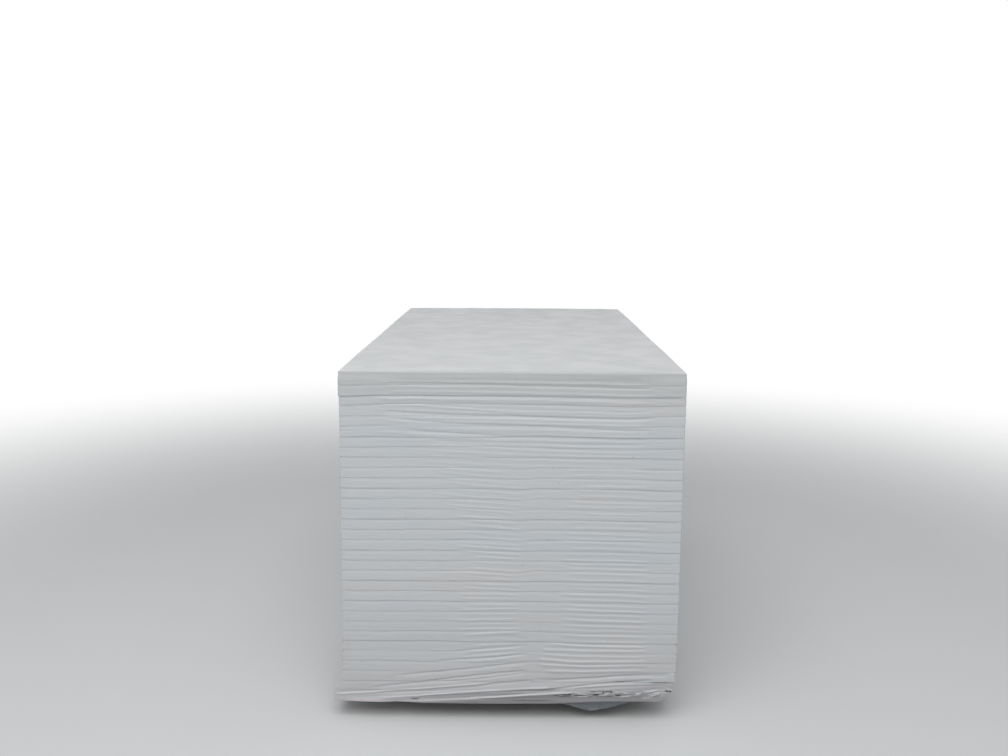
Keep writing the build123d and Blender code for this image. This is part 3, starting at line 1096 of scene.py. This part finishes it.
def shadeAndSoilAt(across, up):
    # how far the film at its foot is darkened by painted shade, with some dirt, from 0 to 1
    overCrest = up / mm - curlLine("crest", across)
    underBand = curlLine("band", across) - up / mm
    below = curlLine("deep", across) * smooth(0.1 - overCrest / 5)
    above = curlLine("light", across) * smooth(0.5 + underBand / 7) * smooth((overCrest - 3) / 4)
    return np.maximum(below, above)


def addCurl(field, across, up):
    crest = curlLine("crest", across) * mm
    below = np.clip(up / np.maximum(crest, 4 * mm), 0, 1)
    above = 1 - smooth((up - crest) / (45 * mm))
    share = faded(across, -0.2, 0.57, 0.2, 0.05)
    field += frontFoot["crestOut"] * mm * np.where(up < crest, below, above) * share


rng = np.random.default_rng(frontFoot["smallTearSeed"])
for number in range(frontFoot["smallTears"]):
    place = rng.uniform(*frontFoot["smallTearAcross"])
    lowest, underCrest = frontFoot["smallTearUp"]
    up = rng.uniform(lowest, curlLine("crest", place) * mm - underCrest)
    frontFoot["tears"].append((place, up, *(rng.uniform(*limits) for limits in frontFoot["smallTearSizes"])))


def eachTear(across, up):
    # for each tear its depth, and how far every point lies in it and in the lip above it
    ragged = 1.3 * np.sin(across * 610) + 0.9 * np.sin(across * 1370 + 2)
    for place, height, half, depth, tall in frontFoot["tears"]:
        dx = (across - place) / (half * mm)
        frayed = ragged * min(1, 25 / half)
        dz = ((up - height) / mm - 0.5 * frayed) / (tall * (1 + 0.25 * frayed))
        slit = np.exp(-(dx ** 4) - np.abs(dz) ** 2.6)
        lip = np.exp(-(dx ** 4) - ((dz - 2.2) / 1.2) ** 2)
        yield depth, slit, lip


def addTears(field, s, z):
    # returns how far each point lies in a tear, whose colour is painted shade, and how far painted shade,
    # with some dirt, darkens it, both from 0 to 1
    across = s[None, :] + slideShift(s[None, :], z[:, None]) - stack["slide"] / 2
    up = z[:, None] - stack["bottom"]
    dark = np.zeros_like(field)
    addCurl(field, across, up)
    soiled = shadeAndSoilAt(across, up)
    for start, end, height, width in frontFoot["crumples"]:
        ux, uy = end[0] - start[0], end[1] - start[1]
        length = math.hypot(ux, uy)
        along = ((across - start[0]) * ux + (up - start[1]) * uy) / length
        aside = ((up - start[1]) * ux - (across - start[0]) * uy) / length
        ridge = faded(along, 0, length, 0.35 * length) * np.exp(-((aside / (width * mm)) ** 2))
        field += height * mm * ridge
        soiled = soiled * (1 - 0.9 * ridge)
    for depth, slit, lip in eachTear(across, up):
        field += (0.6 * depth * lip - depth * slit) * mm
        soiled = soiled * (1 - 0.6 * lip)
        dark = np.maximum(dark, np.minimum(1, 1.3 * slit))
    return keptOff(field, z), dark, soiled


def mark(piece, name, values):
    # a value for each point of the outer grid, read by the film's material
    attribute = piece.data.attributes.new(name, "FLOAT", "POINT")
    padded = np.zeros(len(piece.data.vertices), np.float32)
    padded[: values.size] = np.clip(values, 0, 1).ravel()
    attribute.data.foreach_set("value", padded)


film = []


def keep(piece, **marks):
    for name, values in marks.items():
        mark(piece, name, values)
    film.append(piece)
    print(f"{piece.name}: {len(piece.data.polygons)} faces")


def randomFor(name, extra=0):
    return np.random.default_rng(bag["seed"] + 7 * sideNames.index(name) + extra)


def withHem(name, s, z, field, rows):
    # points of a face with its hem below it, and those of the hem by itself
    face = sidePoints(name, s, z, field)
    under = hemPoints(name, s, face[0], field[0], rows, randomFor(name, 2))
    return crushed(np.concatenate([under, face])), under


# each side runs from the free edge of its hem to the top edge; the front is cut into its foot, with
# finer columns, and panels above it
def makeFront():
    s, z = columnsOf["front"], wallRows(frontFoot["boards"], bag["rowsPerBoard"]["front"])
    kept = keptColumns(s)
    field, inside = sideField("front", s, z, front["wrinkles"], randomFor("front"))
    outer, inner = sidePoints("front", s, z, field), backPoints("front", s[kept], z)
    # the panels meet in joints, and each is small enough for the library
    cuts = [0, *(int(np.abs(z - joints[k]).argmin()) for k in front["cuts"]), len(z) - 1]
    for part, (a, b) in enumerate(zip(cuts[:-1], cuts[1:])):
        rows = slice(a, b + 1)
        panel = closedPanel(f"film_front_{part + 1}", outer[rows], inner[rows], kept, filmMaterial)
        keep(panel, joint=inside[rows])


def makeFrontFoot():
    s = stretched(halfWidth, frontFoot["columnStep"])
    z = faceRows(joints[frontFoot["boards"] - 1], frontFoot["rowStep"])
    field, inside = sideField("front", s, z, front["wrinkles"], randomFor("front"))
    field, dark, soiled = addTears(field, s, z)
    outer, under = withHem("front", s, z, field, hem["frontRows"])
    across, up = under[..., 0] - stack["slide"] / 2, under[..., 2] - stack["bottom"]
    inFront = under[..., 1] < -halfLength
    hemDark = inFront * np.max([slit for depth, slit, lip in eachTear(across, up)], axis=0)
    # its marks paint shade: almost black in the tears, darker where the film turns under, with some dirt, and
    # a little darker in the joints
    keep(thickSheet("film_foot", outer, hem["thickness"] * mm, filmMaterial),
         torn=np.concatenate([hemDark, dark]),
         soiled=np.concatenate([shadeAndSoilAt(across, up), soiled]),
         joint=np.concatenate([np.zeros(under.shape[:2]), inside]))


def makeSide(name):
    s, half = columnsOf[name], sides[name]["half"]
    z = np.concatenate([faceRows(joints[0], bag["faceStep"])[:-1], wallRows(1, bag["rowsPerBoard"][name])])
    kept = keptColumns(s)
    field, inside = sideField(name, s, z, hiddenWrinkles(half, randomFor(name)), randomFor(name, 1))
    outer, under = withHem(name, s, z, field, hem["rows"])
    # behind the hem the inner side follows the outer one at the thickness of the film
    lowest = outer[: len(under)][:, kept].copy()
    lowest[..., 2] += hem["thickness"] * mm
    inner = np.concatenate([lowest, backPoints(name, s[kept], z)])
    keep(closedPanel(f"film_{name}", outer, inner, kept, filmMaterial),
         joint=np.concatenate([np.zeros(under.shape[:2]), inside]))


makeFront()
makeFrontFoot()
for name in ("right", "back", "left"):
    makeSide(name)


# the loose corner of the hem that hangs under the photographed end, across and down in millimetres
# from the middle of the bundle and from the lowest board
flap = {
    "line": [(209, 15), (243, 23), (275, 33), (300, 41.5), (315, 45), (330, 42.5), (355, 36), (400, 25),
             (444, 12), (470, 3)],
    "columns": 70,
    "rows": 16,
    "start": 2.0,  # below the board
    "behind": 4.0,  # behind the boards' end
    "lean": 0.1,  # how far it goes back for each millimetre down
    "folds": ((2.0, 17.0, 1.2), (1.0, 6.5, -2.0)),  # depth, length and how far each turns downwards
    "colours": ((0.15, 0.165, 0.18, 1), (0.44, 0.46, 0.48, 1)),  # painted shade, dark and pale
    "darkBelow": (44, 16),  # millimetres below the lowest board between which the painted shade turns dark
}


def makeFlapMaterial():
    # one layer of the same film, painted with shade: dark where the shade behind it shows through
    material, tree, shader, place = newMaterial("looseFilm")
    up = node(tree, "SeparateXYZ", {0: place})["Z"]
    low, high = (stack["bottom"] - depth * mm for depth in flap["darkBelow"])
    lower = ranged(tree, up, low, high, 1.0, 0.0)
    streaks = noise(tree, stretchedBy(tree, place, (30, 30, 60)), 1.0, 3.0, 0.6)
    dark, pale = flap["colours"]
    streaky = mixed(tree, ranged(tree, streaks, 0.35, 0.7, 0.0, 0.5), dark, pale)
    crinkle = noise(tree, stretchedBy(tree, place, (60, 60, 60)), 1.0, 3.0)
    finished(tree, shader, mixed(tree, lower, dark, streaky), 0.32, bumped(tree, crinkle, 0.4, 0.003))
    return material


def makeFlap():
    drops = np.array(flap["line"])
    u = np.linspace(drops[0, 0], drops[-1, 0], flap["columns"])
    v = np.linspace(0, 1, flap["rows"])
    drop = np.interp(u, drops[:, 0], drops[:, 1])
    height = -flap["start"] - (drop - flap["start"])[None, :] * v[:, None]
    depth = flap["behind"] + flap["lean"] * np.abs(height + flap["start"])
    loose = v[:, None] * np.sin(np.pi * (u - u[0]) / (u[-1] - u[0]))[None, :]
    for deep, length, turn in flap["folds"]:
        depth = depth + deep * np.sin(u / length + turn * v[:, None]) * loose
    x = u[None, :] * mm + np.zeros_like(height)
    sheet = np.stack([x, depth * mm - stack["length"] / 2, stack["bottom"] + height * mm], axis=-1)[::-1]
    return thickSheet("film_flap", sheet, hem["thickness"] * mm, makeFlapMaterial())


keep(makeFlap())


# the top of the bag, with folds that run in from its corners
topFolds = {
    "seed": 5,
    "step": 11.0 * mm,  # columns along the bundle
    # creases that run in from each corner: how many, metres in from the sides, lean
    "perCorner": 9,
    "cornerPlace": (0.02, 0.09),
    "cornerLean": (0.25, 1.0),
    # creases across the bundle and along it: how many of each, from where to where, spread of the angle
    "alongEdges": 26,
    "acrossPlace": ((-0.5, 0.2), (0.7, 1.16)),
    "acrossSpread": 0.06,
    "alongPlace": ((0.2, 0.56), (-1.1, 0.6)),
    "alongSpread": 0.05,
    # length in metres, height and width in millimetres
    "cornerSize": ((0.15, 0.5), (1.0, 3.0), (5, 11)),
    "acrossSize": ((0.25, 0.7), (0.8, 2.4), (5, 12)),
    "alongSize": ((0.3, 0.9), (0.8, 2.2), (5, 12)),
    "swell": 0.9 * mm,
    "highest": 5 * mm,
    "gusset": 1.1 * mm,  # thickness of the layers under the outer one
    "gussetEdge": 8 * mm,  # width over which they fall away
}


def addCreases(field, x, y, creases):
    for startX, startY, angle, length, height, width in creases:
        dx, dy = x - startX, y - startY
        along = dx * math.cos(angle) + dy * math.sin(angle)
        across = -dx * math.sin(angle) + dy * math.cos(angle)
        strength = faded(along, 0, length, 0.2 * length, 0.5 * length)
        field += height * strength * np.exp(-((across / width) ** 2))


def topCreases(rng):
    def drawn(limits):
        return rng.uniform(*limits)

    def sizes(name):
        length, height, width = (drawn(limits) for limits in topFolds[name])
        return length, height * mm, width * mm

    def inwards(sign):
        return -sign * drawn(topFolds["cornerLean"])

    creases = []
    for signX in (-1, 1):
        for signY in (-1, 1):
            for number in range(topFolds["perCorner"]):
                angle = math.atan2(inwards(signY), inwards(signX))
                startX = signX * (halfWidth - drawn(topFolds["cornerPlace"]))
                startY = signY * (halfLength - drawn(topFolds["cornerPlace"]))
                creases.append((startX, startY, angle, *sizes("cornerSize")))
    for number in range(topFolds["alongEdges"]):
        signY, (placeX, placeY) = rng.choice((-1, 1)), topFolds["acrossPlace"]
        creases.append((drawn(placeX), signY * drawn(placeY), rng.normal(0, topFolds["acrossSpread"]),
                        *sizes("acrossSize")))
        signX, (placeX, placeY) = rng.choice((-1, 1)), topFolds["alongPlace"]
        creases.append((signX * drawn(placeX), drawn(placeY),
                        math.pi / 2 + rng.normal(0, topFolds["alongSpread"]), *sizes("alongSize")))
    return creases


def makeTop():
    lengthwise = stretched(halfLength, topFolds["step"])
    x, y = columnsOf["front"][None, :], lengthwise[:, None]
    swell = np.sin(x * 7.3 + 1.7 * np.sin(y * 2.1)) * np.cos(y * 4.1 + 1.3 * np.sin(x * 3.3))
    field = topFolds["swell"] * (1 + swell)
    addCreases(field, x, y, topCreases(np.random.default_rng(topFolds["seed"])))
    field = topFolds["highest"] * np.tanh(field / topFolds["highest"])
    # the folded-in gussets lie under the outer layer, up to two diagonals at each end
    gusset = np.abs(y) - (halfLength - halfWidth) - np.abs(x)
    field += topFolds["gusset"] * smooth(0.5 - gusset / topFolds["gussetEdge"])
    for name, sign in (("front", -1), ("back", 1)):
        weight = endWeight(sign * y, halfLength)
        field = field * (1 - weight) + rawLift(name, -sign * x) * weight
    for name, sign in (("left", -1), ("right", 1)):
        weight = endWeight(sign * x, halfWidth)
        field = field * (1 - weight) + edgeLift(name, sign * y) * weight
    r, under = bag["rounding"], stack["top"] - mm
    flatX, flatY = np.clip(x, r - halfWidth, halfWidth - r), np.clip(y, r - halfLength, halfLength - r)
    px, py, pz = rounded(x, y, flatX, flatY, bagTop, field)
    outer = np.stack([px + slideShift(px, under), py, pz], axis=-1)
    kept = keptColumns(columnsOf["front"])
    even = np.zeros((len(lengthwise), len(kept)))
    ix = np.clip(columnsOf["front"][kept], closer - halfWidth, halfWidth - closer)[None, :] + even
    iy = np.clip(lengthwise, closer - halfLength, halfLength - closer)[:, None] + even
    inner = np.stack([ix + slideShift(ix, under), iy, even + (bagTop - closer)], axis=-1)
    return closedPanel("film_top", outer, inner, kept, filmMaterial)


keep(makeTop())

for piece in film:
    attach(piece, "root")
    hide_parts("shrink_film")


# finish of the boards and of the foot strips, which keep their CAD shapes
foamLook = {
    "felt": (0.34, 0.34, 0.33, 1),
    "feltDark": (0.25, 0.25, 0.245, 1),
    "core": (0.62, 0.47, 0.24, 1),
    "corePale": (0.70, 0.56, 0.32, 1),
    "foot": (0.66, 0.54, 0.33, 1),
    "footDark": (0.50, 0.40, 0.24, 1),
    "soil": (0.16, 0.14, 0.12, 1),
    "cellSize": 320.0,  # noise scale, per metre
    "cellHeight": 0.0007,
}


def patchy(tree, patches, first, second):
    # two colours mixed by a noise
    return mixed(tree, ranged(tree, patches, 0.35, 0.7, 0.0, 1.0), foamLook[first], foamLook[second])


def makeBoardMaterial():
    # grey felt on the two broad faces of a board and tan foam on its cut edges
    material, tree, shader, place = newMaterial("boardFoam")
    fibres = noise(tree, stretchedBy(tree, place, (90, 30, 90)), 1.0, 3.0, 0.6)
    cells = noise(tree, place, foamLook["cellSize"], 2.0, 0.6)
    facing = node(tree, "SeparateXYZ", {0: node(tree, "NewGeometry", {})["True Normal"]})
    broad = ranged(tree, calculated(tree, "ABSOLUTE", facing["Z"]), 0.9, 0.98, 0.0, 1.0)
    cut, felt = patchy(tree, cells, "core", "corePale"), patchy(tree, fibres, "felt", "feltDark")
    colour = mixed(tree, broad, cut, felt)
    finished(tree, shader, colour, 0.9, bumped(tree, cells, 0.5, foamLook["cellHeight"]))
    return material


def makeFootMaterial():
    # cut foam, soiled where it stands on the ground
    material, tree, shader, place = newMaterial("footFoam")
    cells = noise(tree, place, foamLook["cellSize"], 2.0, 0.6)
    spread = noise(tree, stretchedBy(tree, place, (20, 20, 40)), 1.0, 3.0, 0.6)
    up = node(tree, "SeparateXYZ", {0: place})["Z"]
    soiled = ranged(tree, calculated(tree, "MULTIPLY_ADD", spread, -0.05, up), -0.02, 0.012, 0.55, 0.0)
    colour = mixed(tree, soiled, patchy(tree, cells, "foot", "footDark"), foamLook["soil"])
    finished(tree, shader, colour, 0.92, bumped(tree, cells, 0.6, foamLook["cellHeight"]))
    return material


boardFoam, footFoam = makeBoardMaterial(), makeFootMaterial()
for name in ("boards", "foot_strip_front", "foot_strip_middle", "foot_strip_back"):
    for slot in bpy.data.objects[name].material_slots:
        slot.material = boardFoam if name == "boards" else footFoam
print("materials of the boards and foot strips made")
